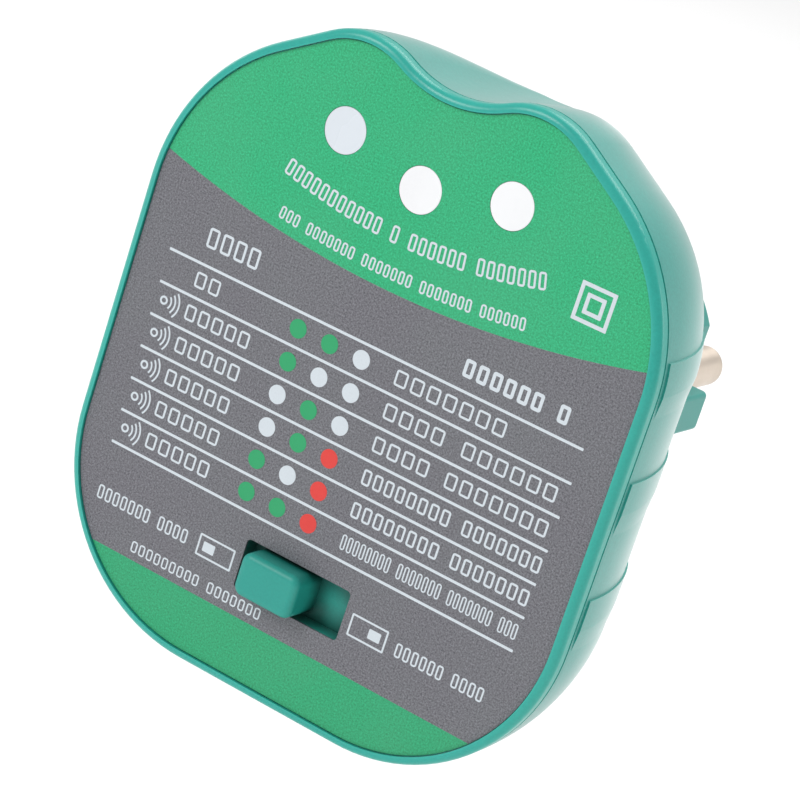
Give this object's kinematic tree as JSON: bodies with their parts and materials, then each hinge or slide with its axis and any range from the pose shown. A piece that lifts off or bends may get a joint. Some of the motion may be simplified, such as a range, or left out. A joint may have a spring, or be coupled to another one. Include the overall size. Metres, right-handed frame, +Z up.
{
  "type": "circuit breaker finder",
  "caption": "Plug-in transmitter and socket tester: flat rounded housing with a printed front, lamp windows and a slide switch, and a two-pin side-earth plug behind.",
  "frame": {"origin": "centre of the plug's end face, midway between the two contact pins", "axes": "+Y the way the pins point, into the socket; +Z up, towards the lamps and the finger scoop; +X to the right of someone who reads the front"},
  "size_m": [0.0626, 0.0707, 0.0711],
  "materials": {
    "cover_plastic": "fine satin moulded texture",
    "button_plastic": "satin moulded",
    "plug_plastic": "satin moulded",
    "label_print": "printed film, satin",
    "lens_white": "smooth, translucent white",
    "led_resin": "clear water-white resin",
    "switch_steel": "tinned sheet",
    "switch_black": "moulded",
    "switch_laminate": "pressed paper laminate",
    "terminal_metal": "tin plated",
    "board_laminate": "solder mask, satin",
    "chip_resin": "moulded resin",
    "resistor_coat": "lacquered",
    "capacitor_case": "moulded box",
    "fuse_glass": "clear tube",
    "buzzer_case": "moulded",
    "screw_steel": "zinc plated",
    "pin_plating": "nickel plated, satin",
    "earth_plating": "nickel plated, satin",
    "wire_brown": "extruded insulation",
    "wire_blue": "extruded insulation",
    "wire_green_yellow": "extruded insulation",
    "link_copper": "tinned wire"
  },
  "bodies": {
    "housing": {"front_cover": "cover_plastic", "rear_cover": "cover_plastic", "face_label": "label_print", "switch_can": "switch_steel", "switch_base": "switch_laminate", "switch_terminals": "terminal_metal", "circuit_board": "board_laminate", "controller_chip": "chip_resin", "resistors": "resistor_coat", "signal_capacitor": "capacitor_case", "fuse": "fuse_glass", "buzzer": "buzzer_case", "case_screws": "screw_steel", "board_screws": "screw_steel", "plug_screws": "screw_steel", "plug_body": "plug_plastic", "live_pin": "pin_plating", "neutral_pin": "pin_plating", "earth_clip_top": "earth_plating", "earth_clip_bottom": "earth_plating", "live_wire": "wire_brown", "neutral_wire": "wire_blue", "earth_wire": "wire_green_yellow", "earth_link": "link_copper", "led_lens_left": "lens_white", "led_lens_centre": "lens_white", "led_lens_right": "lens_white", "led_left": "led_resin", "led_centre": "led_resin", "led_right": "led_resin"},
    "switch": {"switch_button": "button_plastic", "switch_slider": "switch_black"}
  },
  "joints": [
    {"name": "switch_slide", "type": "slide", "parent": "housing", "child": "switch", "axis": [1, 0, 0], "range_m": [0, 0.0035]}
  ]
}
